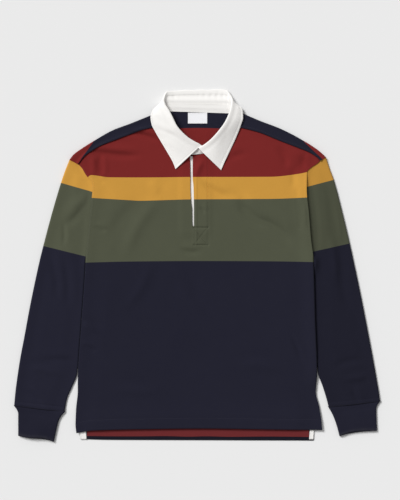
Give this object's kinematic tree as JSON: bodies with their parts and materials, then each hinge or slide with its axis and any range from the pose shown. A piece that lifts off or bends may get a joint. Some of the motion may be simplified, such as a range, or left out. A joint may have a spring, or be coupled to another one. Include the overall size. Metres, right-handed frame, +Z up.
{
  "type": "long-sleeved polo shirt",
  "caption": "Long-sleeved rugby-style polo shirt with wide colour bands and a white collar, laid flat on its back with the sleeves down beside the body.",
  "frame": {"origin": "middle of the shirt's outline, on the surface that it lies on", "axes": "+X across the shirt towards the picture's right (the sleeve the wearer calls left), +Y from the hem to the collar, +Z up from the surface"},
  "size_m": [0.876, 0.8449, 0.0264],
  "materials": {
    "jersey": "heavy cotton jersey, matt, knitted in red, mustard, green and navy bands",
    "rib": "navy rib knit, matt",
    "collar_cloth": "white woven cotton, matt",
    "white_twill": "white twill tape, matt",
    "red_twill": "dark red twill tape, matt",
    "label": "plain white woven label, matt"
  },
  "bodies": {
    "root": {"front": "jersey", "back": "jersey", "sleeve_left": "jersey", "sleeve_right": "jersey", "cuff_left": "rib", "cuff_right": "rib", "collar_fall": "collar_cloth", "collar_stand": "collar_cloth", "placket_under": "collar_cloth", "neck_tape": "white_twill", "vent_tape_left": "white_twill", "vent_tape_right": "white_twill", "hem_tape": "red_twill", "neck_label": "label"}
  },
  "joints": []
}
